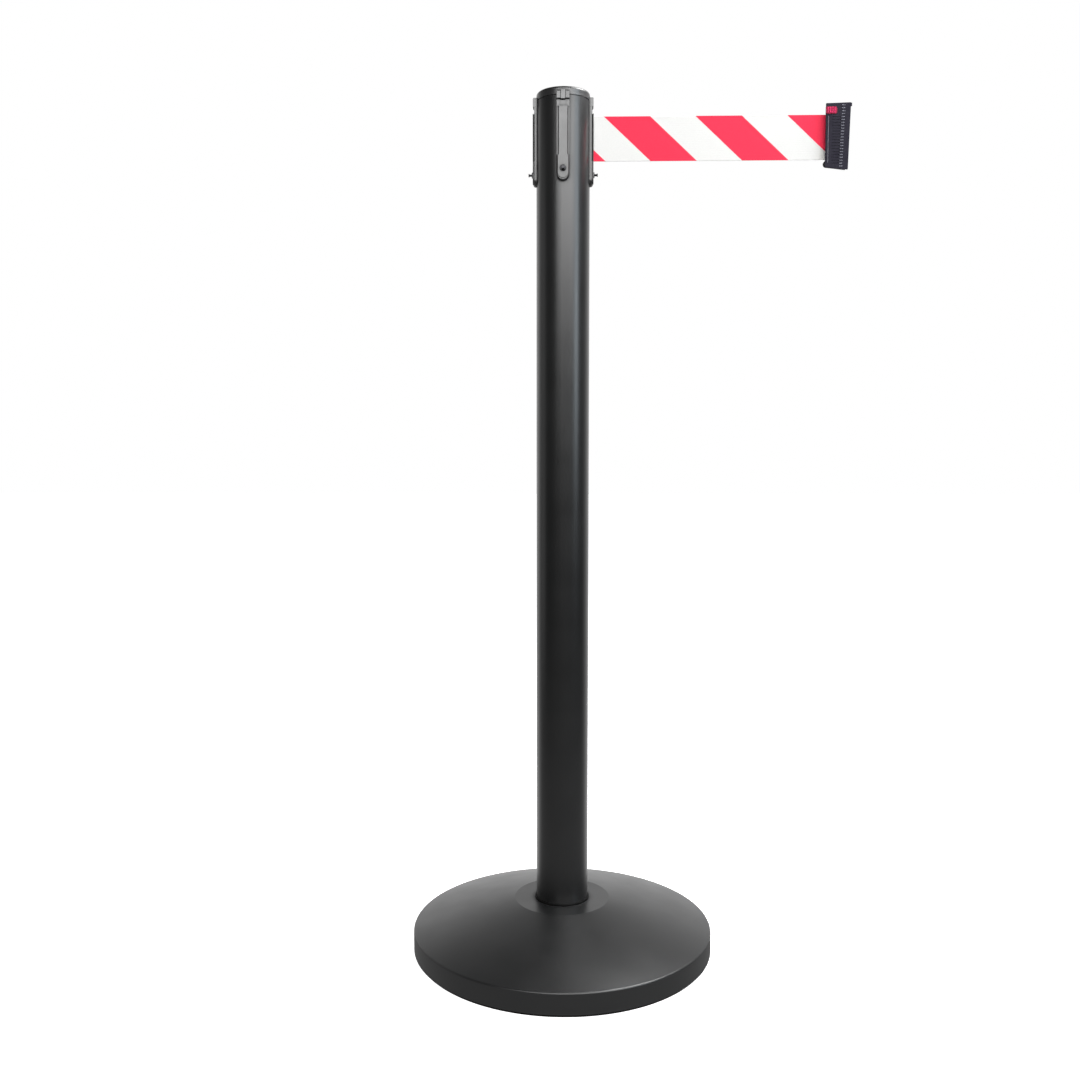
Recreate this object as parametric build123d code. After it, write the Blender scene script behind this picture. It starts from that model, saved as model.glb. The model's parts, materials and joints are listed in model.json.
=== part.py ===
from build123d import *
import math
import os

# Retractable belt stanchion. Units are millimetres, +Z is up.
# The origin is on the floor, on the axis of the post. The belt leaves the post along +X.

# ---- Driving dimensions ----
TOTAL_HEIGHT = 1000.0
FIT_GAP = 0.05             # between nested round pieces that are fixed to each other
RUN_GAP = 0.06             # radial clearance of a turning fit
PRESS_GAP = 0.02           # radial clearance of a press or screwed fit
HOLE_GAP = 0.1             # radial clearance of a screw or peg in its hole
OVERLAP = 1.0              # how far joined solids reach into each other
OVERCUT = 1.0              # how far a cut reaches past the surface

# Base
COVER_RADIUS = 177.5
COVER_BOTTOM_Z = 3.4
COVER_RIM_Z = 27.2
COVER_EDGE_ROUND = 2.4
COVER_DOME_RISE = 2.6      # how far the slope bulges above a straight cone
COVER_WALL = 1.0
NECK_RADIUS = 56.3
NECK_Z = 60.1
COVER_HOLE_RADIUS = 15.0
FLOOR_RING_CHAMFER = 0.8
FLOOR_RING_RADIUS = 175.2
FLOOR_RING_INNER_RADIUS = 148.0
WEIGHT_RADIUS = 165.0
WEIGHT_THICKNESS = 10.0
WEIGHT_LOW_CHAMFER = 1.5
WEIGHT_TOP_CHAMFER = 3.0
WEIGHT_HOLE_GAP = 0.5
HUB_RADIUS = 32.0
HUB_FOOT_RADIUS = 46.0
HUB_FOOT_RISE = 12.0
TIE_BOLT_RADIUS = 6.0
TIE_HEAD_RADIUS = 10.4
TIE_HEAD_HEIGHT = 7.0
TIE_POCKET_RADIUS = 15.0
TIE_POCKET_DEPTH = 11.0
WASHER_RADIUS = 13.0
WASHER_THICKNESS = 2.0
WASHER_HOLE_RADIUS = 6.4
TIE_BOLT_TOP_Z = 72.1

# Post
TUBE_RADIUS = 30.5
TUBE_WALL = 1.2
TUBE_TOP_Z = 990.0
COLLAR_RADIUS = 32.1
COLLAR_HEIGHT = 2.6
COLLAR_ROUND = 0.9
PLUG_HEIGHT = 14.0

# Belt
BELT_WIDTH = 50.0
BELT_THICKNESS = 0.45
BELT_LENGTH = 2000.0
BELT_Z = 949.7
BELT_BOTTOM_Z = BELT_Z - BELT_WIDTH / 2
BELT_TOP_Z = BELT_Z + BELT_WIDTH / 2
BELT_GAP = 1.0             # above and below the belt in its slots
ROLL_CLEARANCE = 0.1       # between the wound belt and the turn that leaves it
TUBE_WINDOW_HALF_WIDTH = 2.6
TUBE_WINDOW_MARGIN = 0.5

# Receiver strips, in a frame where the strip faces +X
STRIP_ANGLES = {"belt_outlet": 0, "receiver_back": 90, "receiver_left": 180, "receiver_front": 270}
STRIP_WIDTH = 14.2
STRIP_BOTTOM_Z = 896.0
STRIP_TOP_Z = 994.0
STRIP_BASE_RADIUS = 32.4   # distance of the wide layer's face from the post axis
STRIP_INNER_RADIUS = 27.0  # inside the tube's wall, from where the strip is cut to the tube
HEAD_CUT_START = 20.0      # a cut outwards through the head's wall
HEAD_CUT_END = 40.0
RAIL_NECK_RADIUS = 33.9
RAIL_FACE_RADIUS = 34.7
RAIL_NECK_WIDTH = 6.5
RAIL_WIDTH = 10.5
RAIL_EDGE_CHAMFER = 0.65
RAIL_BOTTOM_Z = 923.8
RAIL_TOP_Z = 976.8
ENTRY_TOP_Z = 984.3
ENTRY_PRONG_RADIUS = 32.9
ENTRY_CENTRE_RADIUS = 33.2
PRONG_RADIUS = 34.5
PRONG_GAP = 6.2
PRONG_ROUND = 1.3
PAD_WIDTH = 11.4
PAD_BOTTOM_Z = 898.9
PAD_BORDER_CHAMFER = 1.35
TAB_WIDTH = 5.0
TAB_TOP_Z = 995.3
TAB_CLEARANCE = 1.1
STRIP_TUBE_GAP = 0.05
PEG_RADIUS = 2.0
PEG_Z = 980.0
PEG_INNER_END = 29.5
OUTLET_SLOT_WIDTH = 3.0

# Stop studs
STUD_Z = 909.3
STUD_THREAD_RADIUS = 1.6
STUD_INNER_END = 27.2
STUD_FLANGE_RADIUS = 3.4
STUD_FLANGE_THICKNESS = 1.2
STUD_FLANGE_ROUND = 0.7
STUD_NECK_RADIUS = 1.25
STUD_TIP_RADIUS = 1.9
STUD_TIP_THICKNESS = 1.1
STUD_TIP_ROUND = 0.4
STUD_END = 39.6

# Top cap
CAP_EDGE_ROUND = 3.0
CAP_SEAM_HEIGHT = 1.0
CAP_SEAM_DEPTH = 0.9
TAB_ROUND = 0.6
SPIGOT_RADIUS = 29.1
SPIGOT_INNER_RADIUS = 26.4
SPIGOT_BOTTOM_Z = 984.4

# Winding cassette
CASE_RADIUS = 28.8
CASE_WALL = 2.0
CASE_BOTTOM_Z = 896.0
CASE_FLOOR = 3.0
CASE_TOP_Z = 979.4
LEDGE_Z = 916.8
LEDGE_HEIGHT = 1.5
LEDGE_WIDTH = 1.3
CASE_WINDOW_HALF_WIDTH = 2.2
TANG_GROOVE_DEPTH = 1.0
TANG_GROOVE_GAP = 0.4
SPRING_COVER_THICKNESS = 2.0
SPRING_COVER_HOLE_RADIUS = 8.5
LID_THICKNESS = 3.0
LID_SCREW_ANGLES = (60, 180, 300)
LID_BOSS_RADIUS = 2.4
LID_BOSS_DISTANCE = 24.6
LID_BOSS_LENGTH = 18.0
LID_SCREW_RADIUS = 1.3
LID_SCREW_LENGTH = 12.0
LID_HEAD_RADIUS = 2.3
LID_HEAD_HEIGHT = 1.4
SPINDLE_RADIUS = 4.0
SPINDLE_TOP_Z = 984.0
GUIDE_PIN_RADIUS = 1.4
GUIDE_PIN_X = 24.4
GUIDE_PIN_Y = 1.7

# Spool and its spring
BUSH_RADIUS = 6.0
BUSH_LENGTH = 8.0
ARBOR_RADIUS = 7.5
ARBOR_BOTTOM_Z = 900.0
CORE_RADIUS = 10.0
FLANGE_RADIUS = 21.0
FLANGE_THICKNESS = 1.6
FLANGE_BELT_GAP = 0.8
DRAG_WASHER_THICKNESS = 1.2
DRAG_WASHER_RADIUS = 12.0
DRAG_WASHER_LIFT = 0.3
SPRING_START_RADIUS = 8.7
SPRING_HALF_STEP = 0.75
SPRING_HALF_TURNS = 20
SPRING_STRIP = 0.4
SPRING_BOTTOM_Z = 900.2
SPRING_WIDTH = 15.0
SPRING_ANGLE = 45
TANG_SLOT_HALF = 0.6
TANG_REACH = 0.6           # how far each tang goes into its slot

# Belt end clip. Its outline is in X and Z, its thickness is along Y
CLIP_LEFT = 299.0
CLIP_RIGHT_TOP = 324.5
CLIP_RIGHT_BOTTOM = 322.3
CLIP_TOP_LEFT_Z = 985.6
CLIP_TOP_RIGHT_Z = 986.5
CLIP_BOTTOM_LEFT_Z = 917.6
CLIP_BOTTOM_RIGHT_Z = 914.8
CLIP_HALF_THICKNESS = 7.0
CLIP_FRONT_FLARE = 2.9     # how far the front face reaches past the rest, to the left and below
CLIP_WALL = 2.0
CLIP_CORNER_ROUND = 0.9
CLIP_FACE_ROUND = 0.5
CLIP_CAVITY_RIGHT = 320.2
CLIP_CAVITY_BOTTOM_Z = 919.6
CLIP_CAVITY_TOP_Z = 983.6
DOCK_FLOOR_X = 322.0
DOCK_HALF_WIDTH = 5.6
CLAW_GAP_HALF = 3.65
CLAW_INNER_X = 323.2
CLAW_BOTTOM_Z = 966.5
CLAW_TOP_Z = 973.5
GRIP_LEFT = 303.4
GRIP_EDGE_MARGIN = 6.5
GRIP_REAR_MARGIN = 10.2    # wider, to keep clear of the screws
GRIP_RIB_LENGTH = 3.6
GRIP_RIB_RADIUS = 0.7
GRIP_RIB_SUNK = 0.15
GRIP_PITCH = 3.21
GRIP_COUNT = 22
GRIP_FIRST_Z = 915.9
GRIP_HEIGHT = 1.2
GRIP_DEPTH = 0.5
GRIP_FULL_FROM_Z = 919.0   # grooves start here, below it there are ribs only
BEAD_X = 299.3
BEAD_RADIUS = 0.55
BEAD_BOTTOM_Z = 920.0
BEAD_TOP_Z = 971.5
LUG_SIZE = 1.1
LUG_HEIGHT = 4.2
LUG_FRONT_Y = -6.5
LUG_TOP_Z = 986.1
CLAMP_PIN_RADIUS = 2.0
CLAMP_PIN_X = 307.0
CLAMP_RIB_HALF = 3.6
CLAMP_RIB_LOW_GAP = 0.6    # between the belt's edges and the ribs that hold the pin
CLAMP_RIB_HIGH_GAP = 0.4
CLAMP_RIB_HEIGHT = 1.1
CLAMP_PIN_LENGTH = 52.4
CLAMP_SEAT_LENGTH = 54.0
CLIP_MOUTH_HALF = 0.5
CLIP_MOUTH_MARGIN = 0.4
CLIP_SCREW_PLACES = ((316.5, 921.4), (316.5, 971.2), (303.6, 983.0))
CLIP_BOSS_RADIUS = 2.1
CLIP_SCREW_RADIUS = 1.0
CLIP_SCREW_HEAD_RADIUS = 2.1
CLIP_SCREW_HEAD_HEIGHT = 1.6
CLIP_SCREW_TIP_Y = -4.0
CLIP_SCREW_SUNK = 0.2
CLIP_SCREW_DRIVE_RADIUS = 0.9
CLIP_SCREW_DRIVE_DEPTH = 0.7
BUMPER_RADIUS = 3.75
BUMPER_X = 300.0
BUMPER_Z = 920.6
BUMPER_HALF_LENGTH = 5.0
BUMPER_ROUND = 0.8
BUMPER_CLEARANCE = 0.3     # left between bumper and post when the belt is drawn in
BUMPER_SLIT_HALF = 0.6      # the slit that clears the belt's lower corner
BUMPER_SLIT_DEPTH = 0.87

# Lock on the clip
LOCK_TRAVEL = 3.0
SLIDER_LEFT = 296.3
SLIDER_RIGHT = 308.7
SLIDER_BOTTOM_Z = 973.8
SLIDER_TOP_Z = 981.5
SLIDER_FRONT_Y = -8.3
SLIDER_BACK_Y = -7.1
SLIDER_CORNER_ROUND = 2.0
SLIDER_RIB_COUNT = 4
SLIDER_RIB_PITCH = 2.4
SLIDER_RIB_RADIUS = 0.6
SLIDER_RIB_MARGIN = 0.8
STEM_LEFT = 302.4
STEM_RIGHT = 305.4
STEM_BOTTOM_Z = 976.9
STEM_TOP_Z = 979.9
BOLT_BOTTOM_Z = 976.5
BOLT_TOP_Z = 980.3
BOLT_END_X = 320.6
BOLT_FRONT_Y = -4.0
BOLT_BACK_Y = 2.5
BOLT_SLOT_GAP = 0.3
NOTCH_X = 310.5
NOTCH_RADIUS = 0.7
NOTCH_RAISE = 0.25
LEAF_THICKNESS = 0.35
LEAF_HALF_WIDTH = 2.0
LEAF_REACH = 4.3
LEAF_BEND = 1.2
LEAF_BEND_RISE = 0.6
LEAF_CLEARANCE = 0.12

# ---- Worked-out values ----
TUBE_INNER_RADIUS = TUBE_RADIUS - TUBE_WALL
CASE_INNER_RADIUS = CASE_RADIUS - CASE_WALL
SPRING_COVER_Z = LEDGE_Z + LEDGE_HEIGHT
SPRING_COVER_TOP_Z = SPRING_COVER_Z + SPRING_COVER_THICKNESS
SPOOL_FLANGE_LOW_Z = BELT_BOTTOM_Z - FLANGE_BELT_GAP
SPOOL_FLANGE_HIGH_Z = BELT_TOP_Z + FLANGE_BELT_GAP
SPOOL_TOP_Z = SPOOL_FLANGE_HIGH_Z + FLANGE_THICKNESS
LID_TOP_Z = CASE_TOP_Z + LID_THICKNESS
PULLED_OUT = BUMPER_X - BUMPER_RADIUS - RAIL_FACE_RADIUS - BUMPER_CLEARANCE
WOUND_LENGTH = BELT_LENGTH - PULLED_OUT
ROLL_RADIUS = math.sqrt(CORE_RADIUS ** 2 + WOUND_LENGTH * BELT_THICKNESS / math.pi)
SLOT_BOTTOM_Z = BELT_BOTTOM_Z - BELT_GAP
SLOT_TOP_Z = BELT_TOP_Z + BELT_GAP
EDGE_SLOPE = (CLIP_RIGHT_TOP - CLIP_RIGHT_BOTTOM) / (CLIP_TOP_RIGHT_Z - CLIP_BOTTOM_RIGHT_Z)


# ---- Shared shapes ----
def block(x0, x1, y0, y1, z0, z1):
    """A box between two corners."""
    centre = Pos((x0 + x1) / 2, (y0 + y1) / 2, (z0 + z1) / 2)
    return centre * Box(x1 - x0, y1 - y0, z1 - z0)


def disc(radius, z0, z1):
    """A cylinder on the post axis."""
    return Pos(0, 0, (z0 + z1) / 2) * Cylinder(radius, z1 - z0)


def ring(outer, inner, z0, z1):
    return disc(outer, z0, z1) - disc(inner, z0 - OVERCUT, z1 + OVERCUT)


def rod_x(radius, x0, x1, z):
    """A cylinder along X through the post axis plane."""
    return Pos((x0 + x1) / 2, 0, z) * Rot(0, 90, 0) * Cylinder(radius, x1 - x0)


def rod_y(radius, x, z, y0, y1):
    """A cylinder along Y."""
    return Pos(x, (y0 + y1) / 2, z) * Rot(90, 0, 0) * Cylinder(radius, y1 - y0)


def at_angle(shape, degrees):
    return Rot(0, 0, degrees) * shape


# ---- Base ----
def dome(inset, z_bottom):
    """The solid of the base's outer shape, made smaller by inset."""
    edge = COVER_RADIUS - inset
    rim_z = COVER_RIM_Z - inset
    top_z = NECK_Z - inset
    middle = ((edge + NECK_RADIUS) / 2, (rim_z + top_z) / 2 + COVER_DOME_RISE)
    slope = ThreePointArc((edge, rim_z), middle, (NECK_RADIUS, top_z))
    rest = Polyline((NECK_RADIUS, top_z), (0, top_z), (0, z_bottom), (edge, z_bottom), (edge, rim_z))
    profile = make_face(Curve() + [slope, rest])
    corner = profile.vertices().sort_by_distance((edge, rim_z, 0))[0]
    profile = fillet(corner, COVER_EDGE_ROUND - inset)
    return revolve(Plane.XZ * profile, Axis.Z)


def base_cover():
    shell = dome(0, COVER_BOTTOM_Z) - dome(COVER_WALL, COVER_BOTTOM_Z - OVERCUT)
    return shell - disc(COVER_HOLE_RADIUS, 0, NECK_Z + OVERCUT)


def base_weight():
    """The cast plate with a hub that carries the post."""
    plate_top = COVER_BOTTOM_Z + WEIGHT_THICKNESS
    profile = Polyline(
        (0, COVER_BOTTOM_Z),
        (WEIGHT_RADIUS - WEIGHT_LOW_CHAMFER, COVER_BOTTOM_Z),
        (WEIGHT_RADIUS, COVER_BOTTOM_Z + WEIGHT_LOW_CHAMFER),
        (WEIGHT_RADIUS, plate_top - WEIGHT_TOP_CHAMFER),
        (WEIGHT_RADIUS - WEIGHT_TOP_CHAMFER, plate_top),
        (HUB_FOOT_RADIUS, plate_top),
        (HUB_RADIUS, plate_top + HUB_FOOT_RISE),
        (HUB_RADIUS, NECK_Z - COVER_WALL),
        (0, NECK_Z - COVER_WALL),
        close=True,
    )
    weight = revolve(Plane.XZ * make_face(profile), Axis.Z)
    weight -= disc(TIE_BOLT_RADIUS + WEIGHT_HOLE_GAP, 0, NECK_Z)
    return weight - disc(TIE_POCKET_RADIUS, 0, COVER_BOTTOM_Z + TIE_POCKET_DEPTH)


def floor_ring():
    """The rubber ring that the base stands on."""
    body = ring(FLOOR_RING_RADIUS, FLOOR_RING_INNER_RADIUS, 0, COVER_BOTTOM_Z)
    outer_low = body.edges().filter_by(GeomType.CIRCLE).group_by(Axis.Z)[0].sort_by(SortBy.RADIUS)[-1]
    return chamfer(outer_low, FLOOR_RING_CHAMFER)


def tie_washer():
    top = COVER_BOTTOM_Z + TIE_POCKET_DEPTH
    return ring(WASHER_RADIUS, WASHER_HOLE_RADIUS, top - WASHER_THICKNESS, top)


def tie_bolt():
    """The hexagon bolt that pulls the post down on to the weight."""
    head_top = COVER_BOTTOM_Z + TIE_POCKET_DEPTH - WASHER_THICKNESS
    head = Pos(0, 0, head_top - TIE_HEAD_HEIGHT) * extrude(
        RegularPolygon(TIE_HEAD_RADIUS, 6), TIE_HEAD_HEIGHT
    )
    return head + disc(TIE_BOLT_RADIUS, head_top - OVERLAP, TIE_BOLT_TOP_Z)


def foot_plug():
    """The threaded steel plug in the foot of the tube."""
    plug = disc(TUBE_INNER_RADIUS - FIT_GAP, NECK_Z, NECK_Z + PLUG_HEIGHT)
    return plug - disc(TIE_BOLT_RADIUS + FIT_GAP, NECK_Z - OVERCUT, NECK_Z + PLUG_HEIGHT + OVERCUT)


def foot_collar():
    collar = ring(COLLAR_RADIUS, TUBE_RADIUS + FIT_GAP, NECK_Z, NECK_Z + COLLAR_HEIGHT)
    top_outer = collar.edges().filter_by(GeomType.CIRCLE).group_by(Axis.Z)[-1].sort_by(SortBy.RADIUS)[-1]
    return fillet(top_outer, COLLAR_ROUND)


# ---- Post ----
def post_tube():
    """The tube, with the belt window and the holes for the four strips."""
    tube = ring(TUBE_RADIUS, TUBE_INNER_RADIUS, NECK_Z, TUBE_TOP_Z)
    tube -= block(
        HEAD_CUT_START, HEAD_CUT_END, -TUBE_WINDOW_HALF_WIDTH, TUBE_WINDOW_HALF_WIDTH,
        SLOT_BOTTOM_Z - TUBE_WINDOW_MARGIN, SLOT_TOP_Z + TUBE_WINDOW_MARGIN,
    )
    for angle in STRIP_ANGLES.values():
        tube -= at_angle(rod_x(STUD_THREAD_RADIUS + HOLE_GAP, HEAD_CUT_START, HEAD_CUT_END, STUD_Z), angle)
        tube -= at_angle(rod_x(PEG_RADIUS + HOLE_GAP, HEAD_CUT_START, HEAD_CUT_END, PEG_Z), angle)
    return tube


def rounded_plate(width, r0, r1, z_bottom, z_top):
    """A plate facing +X whose lower end is a half circle."""
    z_round = z_bottom + width / 2
    return block(r0, r1, -width / 2, width / 2, z_round, z_top) + rod_x(width / 2, r0, r1, z_round)


def rail():
    """The T section that a belt end slides down on."""
    neck_half = RAIL_NECK_WIDTH / 2
    head_half = RAIL_WIDTH / 2
    neck = block(STRIP_BASE_RADIUS, RAIL_NECK_RADIUS, -neck_half, neck_half, RAIL_BOTTOM_Z, RAIL_TOP_Z)
    head = block(RAIL_NECK_RADIUS, RAIL_FACE_RADIUS, -head_half, head_half, RAIL_BOTTOM_Z, RAIL_TOP_Z)
    return neck + chamfer(head.edges().filter_by(Axis.Z).sort_by(Axis.X)[-2:], RAIL_EDGE_CHAMFER)


def pad():
    """The rounded foot of a strip, raised in its middle, where the stud sits."""
    border = rounded_plate(STRIP_WIDTH, STRIP_INNER_RADIUS, RAIL_NECK_RADIUS, STRIP_BOTTOM_Z, RAIL_BOTTOM_Z)
    face_edges = border.faces().sort_by(Axis.X)[-1].edges()
    top_z = face_edges.sort_by(Axis.Z)[-1].center().Z
    sloped = face_edges.filter_by(lambda edge: edge.center().Z < top_z - OVERCUT)
    border = chamfer(sloped, PAD_BORDER_CHAMFER)
    raised = rounded_plate(
        PAD_WIDTH, RAIL_NECK_RADIUS - OVERLAP, RAIL_FACE_RADIUS, PAD_BOTTOM_Z, RAIL_BOTTOM_Z
    )
    return border + raised


def prongs():
    """The thick top of a strip, which guides a belt end and holds the cap's tab."""
    half = STRIP_WIDTH / 2
    lobe = block(STRIP_BASE_RADIUS - OVERLAP, PRONG_RADIUS, -half, half, ENTRY_TOP_Z, STRIP_TOP_Z)
    return fillet(lobe.edges().filter_by(Axis.Y).sort_by(Axis.X)[-2:], PRONG_ROUND)


def receiver(with_slot):
    """One docking strip: a T rail, an entry recess above it and a pad below it."""
    half = STRIP_WIDTH / 2
    gap_half = PRONG_GAP / 2
    base_low = RAIL_BOTTOM_Z - OVERLAP
    base = block(STRIP_INNER_RADIUS, STRIP_BASE_RADIUS, -half, half, base_low, STRIP_TOP_Z)
    strip = pad() + rail() + prongs() + base
    strip += block(STRIP_BASE_RADIUS, ENTRY_CENTRE_RADIUS, -gap_half, gap_half, RAIL_TOP_Z, ENTRY_TOP_Z)
    strip += block(STRIP_BASE_RADIUS, ENTRY_PRONG_RADIUS, -half, half, RAIL_TOP_Z, ENTRY_TOP_Z)
    tab_gap_z = ENTRY_TOP_Z - TAB_CLEARANCE
    strip -= block(HEAD_CUT_START, HEAD_CUT_END, -gap_half, gap_half, tab_gap_z, STRIP_TOP_Z + OVERCUT)
    strip -= disc(TUBE_RADIUS + STRIP_TUBE_GAP, STRIP_BOTTOM_Z - OVERCUT, STRIP_TOP_Z + OVERCUT)
    strip += rod_x(PEG_RADIUS, PEG_INNER_END, STRIP_BASE_RADIUS, PEG_Z)
    strip -= rod_x(STUD_THREAD_RADIUS + HOLE_GAP, HEAD_CUT_START, HEAD_CUT_END, STUD_Z)
    if with_slot:
        slot_half = OUTLET_SLOT_WIDTH / 2
        strip -= block(HEAD_CUT_START, HEAD_CUT_END, -slot_half, slot_half, SLOT_BOTTOM_Z, SLOT_TOP_Z)
    return strip


def stop_stud():
    """A stud that holds a strip and that a docked belt end rests on."""
    flange_end = RAIL_FACE_RADIUS + STUD_FLANGE_THICKNESS
    stud = rod_x(STUD_THREAD_RADIUS, STUD_INNER_END, RAIL_FACE_RADIUS, STUD_Z)
    flange = rod_x(STUD_FLANGE_RADIUS, RAIL_FACE_RADIUS, flange_end, STUD_Z)
    flange = fillet(flange.edges().group_by(Axis.X)[-1], STUD_FLANGE_ROUND)
    stud += flange
    stud += rod_x(STUD_NECK_RADIUS, RAIL_FACE_RADIUS, STUD_END - STUD_TIP_THICKNESS, STUD_Z)
    tip = rod_x(STUD_TIP_RADIUS, STUD_END - STUD_TIP_THICKNESS, STUD_END, STUD_Z)
    return stud + fillet(tip.edges().filter_by(GeomType.CIRCLE), STUD_TIP_ROUND)


def stop_studs():
    return Compound(children=[at_angle(stop_stud(), angle) for angle in STRIP_ANGLES.values()])


def top_cap():
    """The snap-in cap, with a tab that hangs over the top of each strip."""
    cap = disc(TUBE_RADIUS, TUBE_TOP_Z, TOTAL_HEIGHT)
    cap = fillet(cap.edges().group_by(Axis.Z)[-1], CAP_EDGE_ROUND)
    seam_top = TUBE_TOP_Z + CAP_SEAM_HEIGHT
    cap -= ring(TUBE_RADIUS + OVERCUT, TUBE_RADIUS - CAP_SEAM_DEPTH, TUBE_TOP_Z - OVERCUT, seam_top)
    cap += ring(SPIGOT_RADIUS, SPIGOT_INNER_RADIUS, SPIGOT_BOTTOM_Z, TUBE_TOP_Z)
    tab_half = TAB_WIDTH / 2
    for angle in STRIP_ANGLES.values():
        tab = block(TUBE_RADIUS + HOLE_GAP, PRONG_RADIUS, -tab_half, tab_half, ENTRY_TOP_Z, TAB_TOP_Z)
        root = TUBE_RADIUS - CAP_EDGE_ROUND
        tab += block(root, TUBE_RADIUS + OVERLAP, -tab_half, tab_half, TUBE_TOP_Z, TAB_TOP_Z)
        tab = fillet(tab.edges().filter_by(Axis.Y).sort_by(Axis.X)[-2:], TAB_ROUND)
        cap += at_angle(tab, angle)
    return cap


# ---- Winding cassette ----
def lid_boss_places():
    for angle in LID_SCREW_ANGLES:
        yield Rot(0, 0, angle) * Pos(LID_BOSS_DISTANCE, 0, 0)


def cassette_body():
    """The cup that holds the spring and the spool."""
    cup = disc(CASE_RADIUS, CASE_BOTTOM_Z, CASE_TOP_Z)
    cup -= disc(CASE_INNER_RADIUS, CASE_BOTTOM_Z + CASE_FLOOR, CASE_TOP_Z + OVERCUT)
    cup += ring(CASE_INNER_RADIUS + OVERLAP, CASE_INNER_RADIUS - LEDGE_WIDTH, LEDGE_Z, SPRING_COVER_Z)
    for place in lid_boss_places():
        boss = disc(LID_BOSS_RADIUS, CASE_TOP_Z - LID_BOSS_LENGTH, CASE_TOP_Z)
        cup += place * boss
    for place in lid_boss_places():
        cup -= place * disc(LID_SCREW_RADIUS, CASE_TOP_Z - LID_SCREW_LENGTH - OVERCUT, CASE_TOP_Z + OVERCUT)
    cup -= block(
        HEAD_CUT_START, HEAD_CUT_END, -CASE_WINDOW_HALF_WIDTH, CASE_WINDOW_HALF_WIDTH,
        SLOT_BOTTOM_Z, SLOT_TOP_Z,
    )
    inside_floor = CASE_BOTTOM_Z + CASE_FLOOR
    cup -= disc(SPINDLE_RADIUS + PRESS_GAP, CASE_BOTTOM_Z - OVERCUT, inside_floor + OVERCUT)
    for angle in STRIP_ANGLES.values():
        cup -= at_angle(rod_x(STUD_THREAD_RADIUS + PRESS_GAP, HEAD_CUT_START, HEAD_CUT_END, STUD_Z), angle)
    groove_end = CASE_INNER_RADIUS + TANG_GROOVE_DEPTH
    groove_side = SPRING_STRIP + TANG_SLOT_HALF
    groove = block(HEAD_CUT_START, groove_end, -TANG_GROOVE_GAP, groove_side, inside_floor, LEDGE_Z)
    return cup - at_angle(groove, SPRING_ANGLE)


def cassette_lid():
    lid = ring(CASE_RADIUS, SPINDLE_RADIUS + PRESS_GAP, CASE_TOP_Z, LID_TOP_Z)
    for place in lid_boss_places():
        lid -= place * disc(LID_SCREW_RADIUS + HOLE_GAP, CASE_TOP_Z - OVERCUT, LID_TOP_Z + OVERCUT)
    return lid


def lid_screws():
    screw = disc(LID_SCREW_RADIUS - PRESS_GAP, CASE_TOP_Z - LID_SCREW_LENGTH, LID_TOP_Z + LID_HEAD_HEIGHT)
    screw += disc(LID_HEAD_RADIUS, LID_TOP_Z, LID_TOP_Z + LID_HEAD_HEIGHT)
    return Compound(children=[place * screw for place in lid_boss_places()])


def spindle():
    """The fixed axle that the spool turns on."""
    return disc(SPINDLE_RADIUS, CASE_BOTTOM_Z, SPINDLE_TOP_Z)


def guide_pins():
    """Two pins that the belt passes between on its way out."""
    pin = disc(GUIDE_PIN_RADIUS, SPRING_COVER_TOP_Z, CASE_TOP_Z)
    return Compound(children=[Pos(GUIDE_PIN_X, side * GUIDE_PIN_Y, 0) * pin for side in (-1, 1)])


def spring_cover():
    return ring(CASE_INNER_RADIUS - FIT_GAP, SPRING_COVER_HOLE_RADIUS, SPRING_COVER_Z, SPRING_COVER_TOP_Z)


def drag_washer():
    """The felt washer that brakes the spool."""
    low = SPOOL_TOP_Z + DRAG_WASHER_LIFT
    return ring(DRAG_WASHER_RADIUS, BUSH_RADIUS, low, low + DRAG_WASHER_THICKNESS)


# ---- Spool ----
def spool():
    """Core with two flanges, and below it the arbor that the spring turns."""
    body = disc(CORE_RADIUS, SPOOL_FLANGE_LOW_Z, SPOOL_FLANGE_HIGH_Z)
    body += disc(FLANGE_RADIUS, SPOOL_FLANGE_LOW_Z - FLANGE_THICKNESS, SPOOL_FLANGE_LOW_Z)
    body += disc(FLANGE_RADIUS, SPOOL_FLANGE_HIGH_Z, SPOOL_TOP_Z)
    body += disc(ARBOR_RADIUS, ARBOR_BOTTOM_Z, SPOOL_FLANGE_LOW_Z)
    body -= disc(BUSH_RADIUS, ARBOR_BOTTOM_Z - OVERCUT, SPOOL_TOP_Z + OVERCUT)
    slot_low = ARBOR_BOTTOM_Z - OVERCUT
    slot = block(0, ARBOR_RADIUS + OVERCUT, -TANG_SLOT_HALF, TANG_SLOT_HALF, slot_low, LEDGE_Z)
    return body - at_angle(slot, SPRING_ANGLE)


def spool_bushes():
    outer = BUSH_RADIUS - FIT_GAP
    inner = SPINDLE_RADIUS + RUN_GAP
    low = ring(outer, inner, LEDGE_Z, LEDGE_Z + BUSH_LENGTH)
    high = ring(outer, inner, SPOOL_TOP_Z - BUSH_LENGTH, SPOOL_TOP_Z)
    return Compound(children=[low, high])


def belt_roll():
    """The belt that is wound on the spool."""
    return ring(ROLL_RADIUS, CORE_RADIUS, BELT_BOTTOM_Z, BELT_TOP_Z)


def spiral_edge(offset):
    """Half circles of growing radius whose centres alternate, moved outwards by offset."""
    arcs = []
    for turn in range(SPRING_HALF_TURNS):
        centre = SPRING_HALF_STEP * (turn % 2)
        radius = SPRING_START_RADIUS + SPRING_HALF_STEP * turn + offset
        side = 1 if turn % 2 == 0 else -1
        start = (centre + side * radius, 0)
        middle = (centre, side * radius)
        end = (centre - side * radius, 0)
        arcs.append(ThreePointArc(start, middle, end))
    return arcs


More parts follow.
